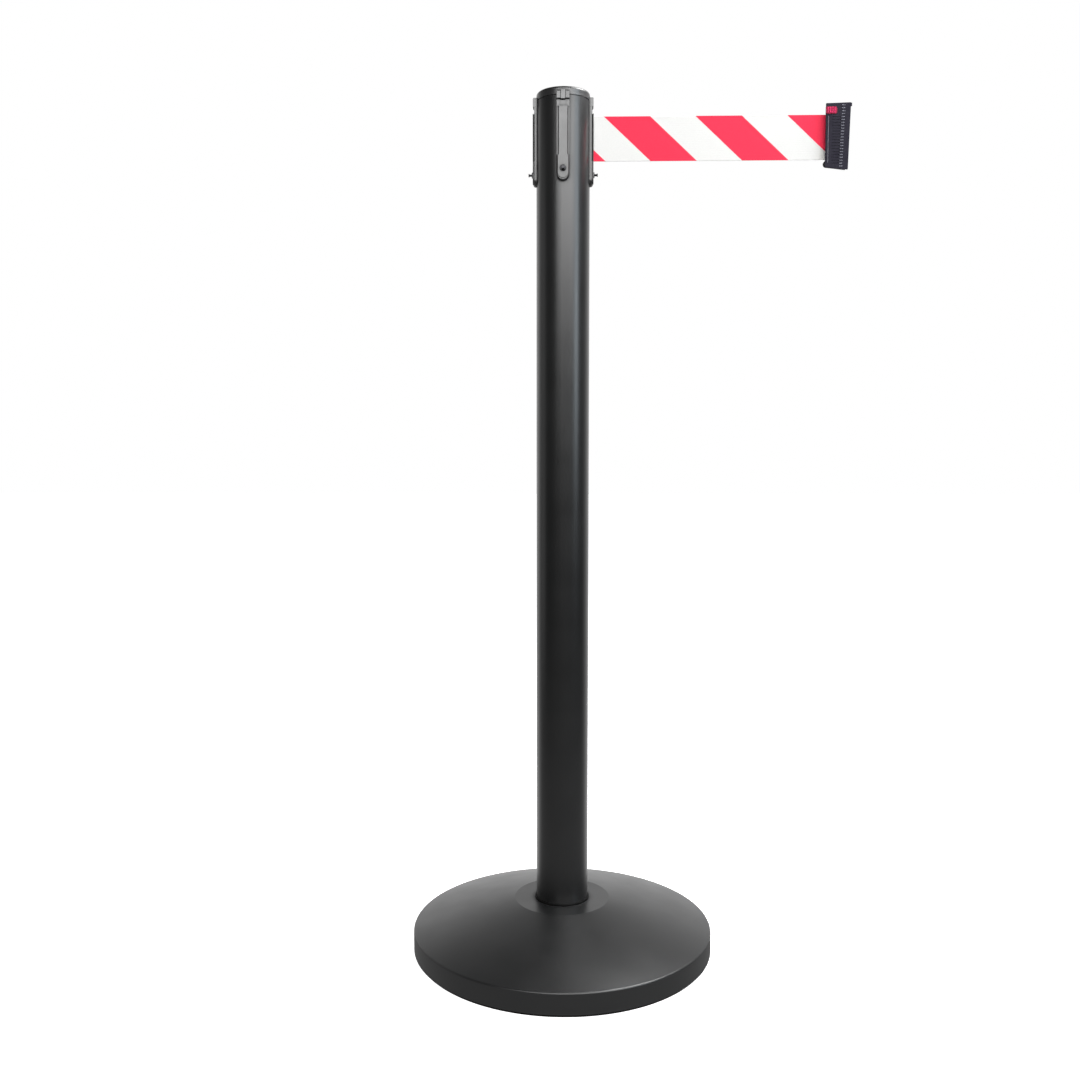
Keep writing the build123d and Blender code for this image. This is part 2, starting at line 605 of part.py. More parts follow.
def power_spring():
    """The flat spiral spring, with a tang at each end."""
    inner = spiral_edge(-SPRING_STRIP / 2)
    outer = spiral_edge(SPRING_STRIP / 2)
    ends = [Line(inner[0] @ 0, outer[0] @ 0), Line(inner[-1] @ 1, outer[-1] @ 1)]
    strip = extrude(make_face(Curve() + inner + outer + ends), SPRING_WIDTH)
    first = SPRING_START_RADIUS + SPRING_STRIP / 2
    last = SPRING_START_RADIUS + SPRING_HALF_STEP * SPRING_HALF_TURNS
    strip += block(BUSH_RADIUS + TANG_REACH, first, -SPRING_STRIP, 0, 0, SPRING_WIDTH)
    strip += block(last - SPRING_STRIP / 2, CASE_INNER_RADIUS + TANG_REACH, 0, SPRING_STRIP, 0, SPRING_WIDTH)
    return at_angle(Pos(0, 0, SPRING_BOTTOM_Z) * strip, SPRING_ANGLE)


# ---- Belt ----
def belt_path_inside():
    """The belt's centre line from the roll, round the lower guide pin, to the start of the straight run."""
    half = BELT_THICKNESS / 2
    roll = ROLL_RADIUS + half + ROLL_CLEARANCE
    bend = GUIDE_PIN_Y
    distance = math.hypot(GUIDE_PIN_X, GUIDE_PIN_Y)
    heading = math.atan2(-GUIDE_PIN_Y, GUIDE_PIN_X) + math.asin((roll + bend) / distance)
    leave = (roll * math.sin(heading), -roll * math.cos(heading))
    arrive = bend_point(heading, bend)
    round_pin = ThreePointArc(arrive, bend_point(heading / 2, bend), (GUIDE_PIN_X, 0))
    return Curve() + [Line(leave, arrive), round_pin]


def bend_point(heading, radius):
    """Where the belt lies on the lower guide pin when it heads at this angle to +X."""
    return (GUIDE_PIN_X - radius * math.sin(heading), -GUIDE_PIN_Y + radius * math.cos(heading))


def belt_span():
    """The free belt: from the roll to the guide pins, then straight out to its loop on the clamp pin."""
    half = BELT_THICKNESS / 2
    loop_inner = CLAMP_PIN_RADIUS + FIT_GAP
    start = Pos(0, 0, BELT_BOTTOM_Z)
    span = start * extrude(trace(belt_path_inside(), BELT_THICKNESS), BELT_WIDTH)
    span += block(GUIDE_PIN_X, CLAMP_PIN_X - loop_inner - half, -half, half, BELT_BOTTOM_Z, BELT_TOP_Z)
    loop = ring(loop_inner + BELT_THICKNESS, loop_inner, BELT_BOTTOM_Z, BELT_TOP_Z)
    return span + Pos(CLAMP_PIN_X, 0, 0) * loop


# ---- Belt end clip ----
def right_edge_x(z):
    """X of the clip's sloping right edge at a height."""
    return CLIP_RIGHT_BOTTOM + (z - CLIP_BOTTOM_RIGHT_Z) * EDGE_SLOPE


def clip_outline(flare):
    """The clip's outline, larger by flare on the left and below."""
    outline = Polyline(
        (CLIP_LEFT - flare, CLIP_BOTTOM_LEFT_Z - flare),
        (CLIP_RIGHT_BOTTOM, CLIP_BOTTOM_RIGHT_Z - flare),
        (CLIP_RIGHT_TOP, CLIP_TOP_RIGHT_Z),
        (CLIP_LEFT - flare, CLIP_TOP_LEFT_Z),
        close=True,
    )
    face = make_face(outline)
    return fillet(face.vertices(), CLIP_CORNER_ROUND)


def grip_rows(side):
    """Height of each row of the grip on one face, and X where its rib ends."""
    margin = GRIP_EDGE_MARGIN if side < 0 else GRIP_REAR_MARGIN
    for number in range(0 if side < 0 else 1, GRIP_COUNT):
        z = GRIP_FIRST_Z + number * GRIP_PITCH
        yield z, right_edge_x(z) - margin


def grip_grooves(side, full_length_to_z):
    """Shallow grooves across one face, up to a given height."""
    face_y = side * CLIP_HALF_THICKNESS
    y_low, y_high = sorted((face_y + side * OVERCUT, face_y - side * GRIP_DEPTH))
    for z, right in grip_rows(side):
        if GRIP_FULL_FROM_Z < z < full_length_to_z:
            yield block(
                GRIP_LEFT, right - GRIP_RIB_LENGTH, y_low, y_high,
                z - GRIP_HEIGHT / 2, z + GRIP_HEIGHT / 2,
            )


def grip_ribs(side):
    """The short round ribs at the right-hand ends of the rows."""
    y = side * (CLIP_HALF_THICKNESS - GRIP_RIB_SUNK)
    for z, right in grip_rows(side):
        rib = Pos(right - GRIP_RIB_LENGTH / 2, y, z) * Rot(0, 90, 0)
        yield rib * Cylinder(GRIP_RIB_RADIUS, GRIP_RIB_LENGTH)


def clip_shell(side, full_length_to_z):
    """Half of the clip's case: side is -1 at the front and +1 at the back."""
    half = CLIP_HALF_THICKNESS
    flare = CLIP_FRONT_FLARE if side < 0 else 0
    parting = Plane.XZ * clip_outline(0)
    outside = Pos(0, side * half, 0) * (Plane.XZ * clip_outline(flare))
    shell = loft([parting.face(), outside.face()], ruled=True)
    outer_face = shell.faces().sort_by(Axis.Y)[0 if side < 0 else -1]
    shell = fillet(outer_face.edges(), CLIP_FACE_ROUND)
    y_wall = side * (half - CLIP_WALL)
    low, high = min(y_wall, 0), max(y_wall, 0)
    shell -= block(
        CLIP_LEFT + CLIP_WALL, CLIP_CAVITY_RIGHT, low, high, CLIP_CAVITY_BOTTOM_Z, CLIP_CAVITY_TOP_Z
    )
    rib_x0 = CLAMP_PIN_X - CLAMP_RIB_HALF
    rib_x1 = CLAMP_PIN_X + CLAMP_RIB_HALF
    rib_low = BELT_BOTTOM_Z - CLAMP_RIB_LOW_GAP
    rib_high = BELT_TOP_Z + CLAMP_RIB_HIGH_GAP
    shell += block(rib_x0, rib_x1, low, high, CLIP_CAVITY_BOTTOM_Z - OVERLAP, rib_low)
    shell += block(rib_x0, rib_x1, low, high, rib_high, rib_high + CLAMP_RIB_HEIGHT)
    for x, z in CLIP_SCREW_PLACES:
        shell += rod_y(CLIP_BOSS_RADIUS, x, z, low, high)
    shell -= Pos(CLAMP_PIN_X, 0, BELT_Z) * Cylinder(CLAMP_PIN_RADIUS + FIT_GAP, CLAMP_SEAT_LENGTH)
    mouth_right = CLIP_LEFT + CLIP_WALL + OVERCUT
    mouth_low = BELT_BOTTOM_Z - CLIP_MOUTH_MARGIN
    mouth_high = BELT_TOP_Z + CLIP_MOUTH_MARGIN
    shell -= block(CLIP_LEFT - OVERCUT, mouth_right, -CLIP_MOUTH_HALF, CLIP_MOUTH_HALF, mouth_low, mouth_high)
    seat_half = BUMPER_HALF_LENGTH + HOLE_GAP
    shell -= rod_y(BUMPER_RADIUS + HOLE_GAP, BUMPER_X, BUMPER_Z, -seat_half, seat_half)
    shell -= dock_groove()
    for groove in grip_grooves(side, full_length_to_z):
        shell -= groove
    for rib in grip_ribs(side):
        shell += rib
    return shell


def dock_groove():
    """The channel in the clip's free end that takes a rail, narrowed by two claws."""
    z0 = CLIP_BOTTOM_RIGHT_Z - CLIP_FRONT_FLARE - OVERCUT
    z1 = CLIP_TOP_RIGHT_Z + OVERCUT
    outside = CLIP_RIGHT_TOP + OVERCUT
    groove = block(DOCK_FLOOR_X, outside, -DOCK_HALF_WIDTH, DOCK_HALF_WIDTH, z0, z1)
    for side in (-1, 1):
        y0, y1 = sorted((side * CLAW_GAP_HALF, side * (DOCK_HALF_WIDTH + OVERLAP)))
        groove -= block(CLAW_INNER_X, outside + OVERLAP, y0, y1, CLAW_BOTTOM_Z, CLAW_TOP_Z)
    gap = BOLT_SLOT_GAP
    window = block(
        CLIP_CAVITY_RIGHT - OVERCUT, DOCK_FLOOR_X + OVERCUT,
        BOLT_FRONT_Y - gap, BOLT_BACK_Y + gap, BOLT_BOTTOM_Z - gap, BOLT_TOP_Z + gap,
    )
    return groove + window


def clip_front_shell():
    shell = clip_shell(-1, BEAD_TOP_Z)
    gap = BOLT_SLOT_GAP
    slot = block(
        STEM_LEFT - gap, STEM_RIGHT + LOCK_TRAVEL + gap,
        -CLIP_HALF_THICKNESS - OVERCUT, -CLIP_HALF_THICKNESS + CLIP_WALL + OVERCUT,
        STEM_BOTTOM_Z - gap, STEM_TOP_Z + gap,
    )
    shell -= slot
    lug = block(
        CLIP_RIGHT_TOP - OVERLAP, CLIP_RIGHT_TOP + LUG_SIZE,
        LUG_FRONT_Y, -DOCK_HALF_WIDTH,
        CLIP_TOP_RIGHT_Z - LUG_HEIGHT, LUG_TOP_Z,
    )
    shell += lug
    bead = Pos(BEAD_X, -CLIP_HALF_THICKNESS + GRIP_RIB_SUNK, (BEAD_BOTTOM_Z + BEAD_TOP_Z) / 2)
    shell += bead * Cylinder(BEAD_RADIUS, BEAD_TOP_Z - BEAD_BOTTOM_Z)
    for x, z in CLIP_SCREW_PLACES:
        shell -= rod_y(CLIP_SCREW_RADIUS + PRESS_GAP, x, z, CLIP_SCREW_TIP_Y - HOLE_GAP, OVERCUT)
    return shell


def clip_rear_shell():
    shell = clip_shell(1, STEM_BOTTOM_Z)
    back = CLIP_HALF_THICKNESS
    for x, z in CLIP_SCREW_PLACES:
        shell -= rod_y(CLIP_SCREW_RADIUS + HOLE_GAP, x, z, -OVERCUT, back + OVERCUT)
        head_seat = back - CLIP_SCREW_HEAD_HEIGHT
        shell -= rod_y(CLIP_SCREW_HEAD_RADIUS + HOLE_GAP, x, z, head_seat, back + OVERCUT)
    return shell


def clip_screws():
    screws = []
    head_seat = CLIP_HALF_THICKNESS - CLIP_SCREW_HEAD_HEIGHT
    head_top = CLIP_HALF_THICKNESS - CLIP_SCREW_SUNK
    for x, z in CLIP_SCREW_PLACES:
        screw = rod_y(CLIP_SCREW_RADIUS, x, z, CLIP_SCREW_TIP_Y, head_top)
        head = rod_y(CLIP_SCREW_HEAD_RADIUS, x, z, head_seat, head_top)
        drive = rod_y(CLIP_SCREW_DRIVE_RADIUS, x, z, head_top - CLIP_SCREW_DRIVE_DEPTH, head_top + OVERCUT)
        screws.append(screw + head - drive)
    return Compound(children=screws)


def belt_clamp_pin():
    """The pin inside the sewn loop of the belt."""
    return Pos(CLAMP_PIN_X, 0, BELT_Z) * Cylinder(CLAMP_PIN_RADIUS, CLAMP_PIN_LENGTH)


def stop_bumper():
    """The rubber roll that meets the post when the belt is drawn in."""
    roll = rod_y(BUMPER_RADIUS, BUMPER_X, BUMPER_Z, -BUMPER_HALF_LENGTH, BUMPER_HALF_LENGTH)
    roll = fillet(roll.edges().filter_by(GeomType.CIRCLE), BUMPER_ROUND)
    slit_low = BUMPER_Z + BUMPER_RADIUS - BUMPER_SLIT_DEPTH
    slit_right = BUMPER_X + BUMPER_RADIUS + OVERCUT
    return roll - block(BUMPER_X, slit_right, -BUMPER_SLIT_HALF, BUMPER_SLIT_HALF, slit_low, BELT_TOP_Z)


def lock_slider():
    """The thumb slide on the front of the clip."""
    middle_x = (SLIDER_LEFT + SLIDER_RIGHT) / 2
    middle_z = (SLIDER_BOTTOM_Z + SLIDER_TOP_Z) / 2
    width = SLIDER_RIGHT - SLIDER_LEFT
    height = SLIDER_TOP_Z - SLIDER_BOTTOM_Z
    plate_outline = Pos(middle_x, middle_z) * RectangleRounded(width, height, SLIDER_CORNER_ROUND)
    plate = Pos(0, SLIDER_BACK_Y, 0) * extrude(Plane.XZ * plate_outline, SLIDER_BACK_Y - SLIDER_FRONT_Y)
    for number in range(SLIDER_RIB_COUNT):
        x = SLIDER_LEFT + (number + 1) * SLIDER_RIB_PITCH
        rib = Pos(x, SLIDER_FRONT_Y, middle_z)
        plate += rib * Cylinder(SLIDER_RIB_RADIUS, height - 2 * SLIDER_RIB_MARGIN)
    stem = block(STEM_LEFT, STEM_RIGHT, SLIDER_FRONT_Y, BOLT_FRONT_Y, STEM_BOTTOM_Z, STEM_TOP_Z)
    return plate + stem


def lock_bolt():
    """The bolt that the slide pushes out behind a rail's top edge."""
    bolt = block(STEM_LEFT, BOLT_END_X, BOLT_FRONT_Y, BOLT_BACK_Y, BOLT_BOTTOM_Z, BOLT_TOP_Z)
    for notch in (NOTCH_X, NOTCH_X - LOCK_TRAVEL):
        bolt -= rod_y(
            NOTCH_RADIUS, notch, BOLT_TOP_Z + NOTCH_RAISE, BOLT_FRONT_Y - OVERCUT, BOLT_BACK_Y + OVERCUT
        )
    return bolt


def detent_leaf():
    """The bent leaf that clicks into the bolt's notches."""
    low = BOLT_TOP_Z + LEAF_CLEARANCE
    high = CLIP_CAVITY_TOP_Z
    side_z = low + LEAF_BEND_RISE
    bend = ((NOTCH_X - LEAF_BEND, side_z), (NOTCH_X, low), (NOTCH_X + LEAF_BEND, side_z))
    upper = [(x, z + LEAF_THICKNESS) for x, z in reversed(bend)]
    outline = [
        (NOTCH_X - LEAF_REACH - LEAF_THICKNESS, high),
        *bend,
        (NOTCH_X + LEAF_REACH + LEAF_THICKNESS, high),
        (NOTCH_X + LEAF_REACH, high),
        *upper,
        (NOTCH_X - LEAF_REACH, high),
    ]
    leaf = make_face(Polyline(*outline, close=True))
    return extrude(Plane.XZ * leaf, LEAF_HALF_WIDTH, both=True)


def assembly():
    """Every piece, by the name of its node."""
    pieces = {
        "base_cover": base_cover(),
        "base_weight": base_weight(),
        "floor_ring": floor_ring(),
        "tie_bolt": tie_bolt(),
        "tie_washer": tie_washer(),
        "foot_plug": foot_plug(),
        "foot_collar": foot_collar(),
        "post_tube": post_tube(),
        "stop_studs": stop_studs(),
        "top_cap": top_cap(),
        "cassette_body": cassette_body(),
        "cassette_lid": cassette_lid(),
        "lid_screws": lid_screws(),
        "spindle": spindle(),
        "guide_pins": guide_pins(),
        "spring_cover": spring_cover(),
        "drag_washer": drag_washer(),
        "spool": spool(),
        "spool_bushes": spool_bushes(),
        "belt_roll": belt_roll(),
        "power_spring": power_spring(),
        "belt_span": belt_span(),
        "clip_front_shell": clip_front_shell(),
        "clip_rear_shell": clip_rear_shell(),
        "clip_screws": clip_screws(),
        "belt_clamp_pin": belt_clamp_pin(),
        "stop_bumper": stop_bumper(),
        "detent_leaf": detent_leaf(),
        "lock_slider": lock_slider(),
        "lock_bolt": lock_bolt(),
    }
    for name, angle in STRIP_ANGLES.items():
        pieces[name] = at_angle(receiver(name == "belt_outlet"), angle)
    return pieces


def main():
    os.makedirs("parts", exist_ok=True)
    for name, shape in assembly().items():
        export_step(shape, f"parts/{name}.step")


main()
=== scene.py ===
import json
import math

import bmesh
import bpy
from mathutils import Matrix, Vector
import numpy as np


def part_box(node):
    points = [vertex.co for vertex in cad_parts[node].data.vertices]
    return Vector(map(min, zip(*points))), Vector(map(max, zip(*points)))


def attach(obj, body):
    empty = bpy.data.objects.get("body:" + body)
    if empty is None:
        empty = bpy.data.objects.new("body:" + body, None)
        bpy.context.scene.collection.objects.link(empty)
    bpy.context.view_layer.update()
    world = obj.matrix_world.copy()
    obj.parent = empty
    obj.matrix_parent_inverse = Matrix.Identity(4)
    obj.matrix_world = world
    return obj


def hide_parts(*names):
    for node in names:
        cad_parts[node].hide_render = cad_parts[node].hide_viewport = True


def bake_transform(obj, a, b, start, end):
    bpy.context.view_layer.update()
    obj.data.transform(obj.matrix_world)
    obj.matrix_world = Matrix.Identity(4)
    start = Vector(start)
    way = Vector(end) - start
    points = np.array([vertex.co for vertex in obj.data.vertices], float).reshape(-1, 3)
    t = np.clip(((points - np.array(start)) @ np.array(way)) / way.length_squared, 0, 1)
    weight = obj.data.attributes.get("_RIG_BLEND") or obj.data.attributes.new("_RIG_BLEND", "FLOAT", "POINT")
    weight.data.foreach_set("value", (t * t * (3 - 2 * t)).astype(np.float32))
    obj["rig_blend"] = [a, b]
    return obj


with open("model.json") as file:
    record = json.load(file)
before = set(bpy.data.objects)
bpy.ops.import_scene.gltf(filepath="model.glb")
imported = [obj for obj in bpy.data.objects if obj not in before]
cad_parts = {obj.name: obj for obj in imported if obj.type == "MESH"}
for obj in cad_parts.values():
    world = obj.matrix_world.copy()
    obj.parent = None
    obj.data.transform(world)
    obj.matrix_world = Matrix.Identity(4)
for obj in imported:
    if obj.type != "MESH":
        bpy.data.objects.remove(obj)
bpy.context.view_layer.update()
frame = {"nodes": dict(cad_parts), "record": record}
nodes = frame["nodes"]
MM = 0.001

# ---- Camera ----
CAMERA_PLACE = (0.0069, -1.2973, 0.5913)
CAMERA_YAW = math.radians(-1.475)
CAMERA_DOWN = math.radians(4.45)
CAMERA_LENS = 36.90


def make_camera():
    data = bpy.data.cameras.new("camera")
    data.sensor_width = 36.0
    data.lens = CAMERA_LENS
    camera = bpy.data.objects.new("camera", data)
    bpy.context.scene.collection.objects.link(camera)
    level = math.cos(CAMERA_DOWN)
    forward = Vector((math.sin(CAMERA_YAW) * level, math.cos(CAMERA_YAW) * level, -math.sin(CAMERA_DOWN)))
    camera.location = CAMERA_PLACE
    camera.rotation_mode = "QUATERNION"
    camera.rotation_quaternion = forward.to_track_quat("-Z", "Y")
    bpy.context.scene.camera = camera


make_camera()


# ---- Light, floor and background ----
# Strengths of the light from around the object. What the camera sees there is white everywhere.
WORLD_BACK = 1.15
WORLD_FRONT = 0.10
WORLD_OVERHEAD_SHARE = 0.12
OVERHEAD_START = 0.3       # Z of a direction, from where the light fades to overhead
OVERHEAD_END = 0.8
BACK_START = 0.08          # Y of a direction, from where it counts as behind
FLOOR_SIZE = 30.0
FLOOR_DROP = 0.0002        # keeps the floor just below the underside that rests on it
FLOOR_COLOUR = (0.9, 0.9, 0.9, 1)
FLOOR_ROUGHNESS = 0.9
FLOOR_GLOW = 1.0
FLOOR_FRONT = 0.06
FLOOR_BACK = 1.0
FLOOR_NEAR = 0.25          # added close to the object
FLOOR_NEAR_START = 0.2
FLOOR_NEAR_END = 1.7
WHITE = (1, 1, 1, 1)

# name, place, what it points at, width, height, watts, colour
LIGHTS = (
    ("front_box", (0.42, -2.0, 1.75), (0.0, 0.0, 0.95), 3.1, 1.1, 61, (1, 1, 1)),
    ("right_box", (1.75, -1.0, 1.3), (0.0, 0.0, 0.95), 0.6, 1.3, 10.5, (0.82, 0.92, 1.0)),
    ("left_card", (-1.8, 0.05, 0.6), (0.0, 0.0, 0.6), 0.7, 1.6, 1.2, (1, 1, 1)),
    ("top_box", (1.05, 0.1, 2.0), (0.1, 0.0, 0.0), 1.0, 1.0, 40, (1, 1, 1)),
)


def area_light(name, place, target, width, height, watts, colour):
    data = bpy.data.lights.new(name, "AREA")
    data.shape = "RECTANGLE"
    data.size = width
    data.size_y = height
    data.energy = watts
    data.color = colour
    light = bpy.data.objects.new(name, data)
    bpy.context.scene.collection.objects.link(light)
    light.location = place
    aim = Vector(target) - Vector(place)
    light.rotation_mode = "QUATERNION"
    light.rotation_quaternion = aim.to_track_quat("-Z", "Y")


def smooth_ramp(tree, source, start, end, low, high):
    """A value that eases from low to high while the source goes from start to end."""
    ramp = tree.nodes.new("ShaderNodeMapRange")
    ramp.interpolation_type = "SMOOTHSTEP"
    ramp.inputs["From Min"].default_value = start
    ramp.inputs["From Max"].default_value = end
    ramp.inputs["To Min"].default_value = low
    ramp.inputs["To Max"].default_value = high
    tree.links.new(source, ramp.inputs["Value"])
    return ramp.outputs["Result"]


def combine(tree, operation, first, second):
    """The sum or product of two values."""
    result = tree.nodes.new("ShaderNodeMath")
    result.operation = operation
    tree.links.new(first, result.inputs[0])
    tree.links.new(second, result.inputs[1])
    return result.outputs[0]


def direction_parts(tree, coordinates):
    """X, Y and Z of the direction from the origin to a point."""
    direction = tree.nodes.new("ShaderNodeVectorMath")
    direction.operation = "NORMALIZE"
    parts = tree.nodes.new("ShaderNodeSeparateXYZ")
    tree.links.new(coordinates, direction.inputs[0])
    tree.links.new(direction.outputs["Vector"], parts.inputs[0])
    return parts.outputs


def show_and_light(tree, output_kind, seen, lighting):
    """One shader for what the camera sees, and another for the light that reaches the object."""
    tree_output = tree.nodes.new(output_kind)
    mix = tree.nodes.new("ShaderNodeMixShader")
    path = tree.nodes.new("ShaderNodeLightPath")
    tree.links.new(path.outputs["Is Camera Ray"], mix.inputs["Fac"])
    tree.links.new(lighting.outputs[0], mix.inputs[1])
    tree.links.new(seen.outputs[0], mix.inputs[2])
    tree.links.new(mix.outputs[0], tree_output.inputs["Surface"])


def make_world():
    """White behind the object. For light, it is bright behind and dim in front and overhead."""
    world = bpy.data.worlds.new("studio")
    bpy.context.scene.world = world
    world.use_nodes = True
    tree = world.node_tree
    tree.nodes.clear()
    seen = tree.nodes.new("ShaderNodeBackground")
    seen.inputs["Color"].default_value = WHITE
    lighting = tree.nodes.new("ShaderNodeBackground")
    lighting.inputs["Color"].default_value = WHITE
    direction = direction_parts(tree, tree.nodes.new("ShaderNodeTexCoord").outputs["Generated"])
    behind = smooth_ramp(tree, direction["Y"], BACK_START, 1.0, WORLD_FRONT, WORLD_BACK)
    overhead = smooth_ramp(tree, direction["Z"], OVERHEAD_START, OVERHEAD_END, 1.0, WORLD_OVERHEAD_SHARE)
    tree.links.new(combine(tree, "MULTIPLY", behind, overhead), lighting.inputs["Strength"])
    show_and_light(tree, "ShaderNodeOutputWorld", seen, lighting)


def make_floor():
    """A pale floor, which throws less light back than it shows."""
    bpy.ops.mesh.primitive_plane_add(size=FLOOR_SIZE, location=(0, 0, -FLOOR_DROP))
    floor = bpy.context.object
    floor.name = "studio_floor"
    material = bpy.data.materials.new("studio_floor")
    material.use_nodes = True
    tree = material.node_tree
    tree.nodes.clear()
    seen = tree.nodes.new("ShaderNodeBsdfPrincipled")
    seen.inputs["Base Color"].default_value = FLOOR_COLOUR
    seen.inputs["Roughness"].default_value = FLOOR_ROUGHNESS
    seen.inputs["Emission Color"].default_value = WHITE
    seen.inputs["Emission Strength"].default_value = FLOOR_GLOW
    lighting = tree.nodes.new("ShaderNodeEmission")
    place = tree.nodes.new("ShaderNodeTexCoord").outputs["Object"]
    distance = tree.nodes.new("ShaderNodeVectorMath")
    distance.operation = "LENGTH"
    tree.links.new(place, distance.inputs[0])
    direction = direction_parts(tree, place)
    behind = smooth_ramp(tree, direction["Y"], BACK_START, 1.0, FLOOR_FRONT, FLOOR_BACK)
    near = smooth_ramp(tree, distance.outputs["Value"], FLOOR_NEAR_START, FLOOR_NEAR_END, FLOOR_NEAR, 0.0)
    tree.links.new(combine(tree, "ADD", behind, near), lighting.inputs["Strength"])
    show_and_light(tree, "ShaderNodeOutputMaterial", seen, lighting)
    floor.data.materials.append(material)


make_world()
make_floor()
for light in LIGHTS:
    area_light(*light)
bpy.context.scene.view_settings.view_transform = "Standard"


# ---- Materials ----
CREASE_SAMPLES = 8
CREASE_SHADE = 0.15        # share of the colour that is left in a closed corner, as painted shade
CREASE_CLOSED = 0.35       # how open a point counts as closed, and from how open it is left alone
CREASE_OPEN = 0.95


class Look:
    """A node material whose textures use the object's own coordinates, in metres."""

    def __init__(self, name, colour, roughness, metallic=0.0):
        self.material = bpy.data.materials.new(name)
        self.material.use_nodes = True
        self.tree = self.material.node_tree
        self.shader = self.tree.nodes["Principled BSDF"]
        self.shader.inputs["Base Color"].default_value = (*colour, 1)
        self.shader.inputs["Roughness"].default_value = roughness
        self.shader.inputs["Metallic"].default_value = metallic
        self.coordinates = self.node("ShaderNodeTexCoord").outputs["Object"]
        self.normal = None

    def node(self, kind):
        return self.tree.nodes.new(kind)

    def link(self, source, target):
        self.tree.links.new(source, target)

    def fill(self, target, value):
        """Give an input a number or colour, or link it."""
        if isinstance(value, bpy.types.NodeSocket):
            self.link(value, target)
        else:
            target.default_value = value

    def position(self):
        """X, Y and Z of the point, in metres."""
        parts = self.node("ShaderNodeSeparateXYZ")
        self.link(self.coordinates, parts.inputs[0])
        return parts.outputs

    def maths(self, operation, *terms):
        result = self.node("ShaderNodeMath")
        result.operation = operation
        for target, term in zip(result.inputs, terms):
            self.fill(target, term)
        return result.outputs[0]

    def mixed(self, share, a, b, blend="MIX"):
        """Colour a, with b on top of it in the given share."""
        mix = self.node("ShaderNodeMix")
        mix.data_type = "RGBA"
        mix.blend_type = blend
        self.fill(mix.inputs["Factor"], share)
        self.fill(mix.inputs["A"], a)
        self.fill(mix.inputs["B"], b)
        return mix.outputs["Result"]

    def noise(self, size_mm, detail=2.0, scale=(1, 1, 1)):
        mapping = self.node("ShaderNodeMapping")
        mapping.inputs["Scale"].default_value = scale
        self.link(self.coordinates, mapping.inputs["Vector"])
        texture = self.node("ShaderNodeTexNoise")
        texture.inputs["Scale"].default_value = 1.0 / (size_mm * MM)
        texture.inputs["Detail"].default_value = detail
        self.link(mapping.outputs["Vector"], texture.inputs["Vector"])
        return texture.outputs["Fac"]

    def ramp(self, source, low, high, from_low=0.3, from_high=0.7):
        remap = self.node("ShaderNodeMapRange")
        remap.inputs["From Min"].default_value = from_low
        remap.inputs["From Max"].default_value = from_high
        remap.inputs["To Min"].default_value = low
        remap.inputs["To Max"].default_value = high
        self.link(source, remap.inputs["Value"])
        return remap.outputs["Result"]

    def roughness(self, source, low, high):
        self.link(self.ramp(source, low, high), self.shader.inputs["Roughness"])

    def colours(self, source, dark, light):
        share = self.ramp(source, 0, 1)
        self.link(self.mixed(share, (*dark, 1), (*light, 1)), self.shader.inputs["Base Color"])

    def paint_crease_shade(self, reach_mm, dull):
        """Painted shade: darker colour in corners and under overhangs, where light doesn't reach. Duller
        there too, where polish doesn't reach.
        """
        occlusion = self.node("ShaderNodeAmbientOcclusion")
        occlusion.samples = CREASE_SAMPLES
        occlusion.inputs["Distance"].default_value = reach_mm * MM
        openness = occlusion.outputs["AO"]
        shade = self.ramp(openness, CREASE_SHADE, 1, CREASE_CLOSED, CREASE_OPEN)
        colour = self.shader.inputs["Base Color"]
        self.link(self.mixed(1.0, colour.links[0].from_socket, shade, "MULTIPLY"), colour)
        polish = self.node("ShaderNodeMix")
        roughness = self.shader.inputs["Roughness"]
        self.link(self.ramp(openness, 0, 1, CREASE_CLOSED, CREASE_OPEN), polish.inputs["Factor"])
        polish.inputs["A"].default_value = dull
        self.link(roughness.links[0].from_socket, polish.inputs["B"])
        self.link(polish.outputs["Result"], roughness)

    def bump(self, source, height_mm):
        bump = self.node("ShaderNodeBump")
        bump.inputs["Distance"].default_value = height_mm * MM
        bump.inputs["Strength"].default_value = 1.0
        self.link(source, bump.inputs["Height"])
        if self.normal is not None:
            self.link(self.normal, bump.inputs["Normal"])
        self.normal = bump.outputs["Normal"]
        self.link(self.normal, self.shader.inputs["Normal"])


BASE_TOP = 60.3            # height in mm below which the coat is that of the base
BASE_EDGE = 0.5            # height in mm over which it changes
BASE_EXTRA_ROUGHNESS = 0.07


def powder_coat():
    look = Look("black_powder_coat", (0.007, 0.0073, 0.0076), 0.34)
    look.shader.inputs["Specular IOR Level"].default_value = 0.9
    look.colours(look.noise(60), (0.005, 0.0053, 0.0056), (0.008, 0.0083, 0.0086))
    scuffed = look.ramp(look.noise(40), 0.29, 0.33)
    height = look.position()["Z"]
    on_base = look.ramp(height, BASE_EXTRA_ROUGHNESS, 0, BASE_TOP * MM, (BASE_TOP + BASE_EDGE) * MM)
    look.link(look.maths("ADD", scuffed, on_base), look.shader.inputs["Roughness"])
    look.bump(look.noise(0.5), 0.006)
    # Painted shade: the coat gets darker within 8 mm of corners and of the parts next to it.
    look.paint_crease_shade(8.0, 0.85)
    return look.material


def moulded_plastic(name, dark, light, rough_low, rough_high, gloss=0.5):
    look = Look(name, light, rough_high)
    look.shader.inputs["Specular IOR Level"].default_value = gloss
    look.colours(look.noise(8), dark, light)
    look.roughness(look.noise(12), rough_low, rough_high)
    look.bump(look.noise(0.25), 0.01)
    return look


# Distances in mm from the clip's middle plane, over which a crest gets lighter, as a painted highlight
CLIP_CREST_HIGHLIGHT = (7.1, 7.35)
SLIDE_CREST_HIGHLIGHT = (8.35, 8.85)


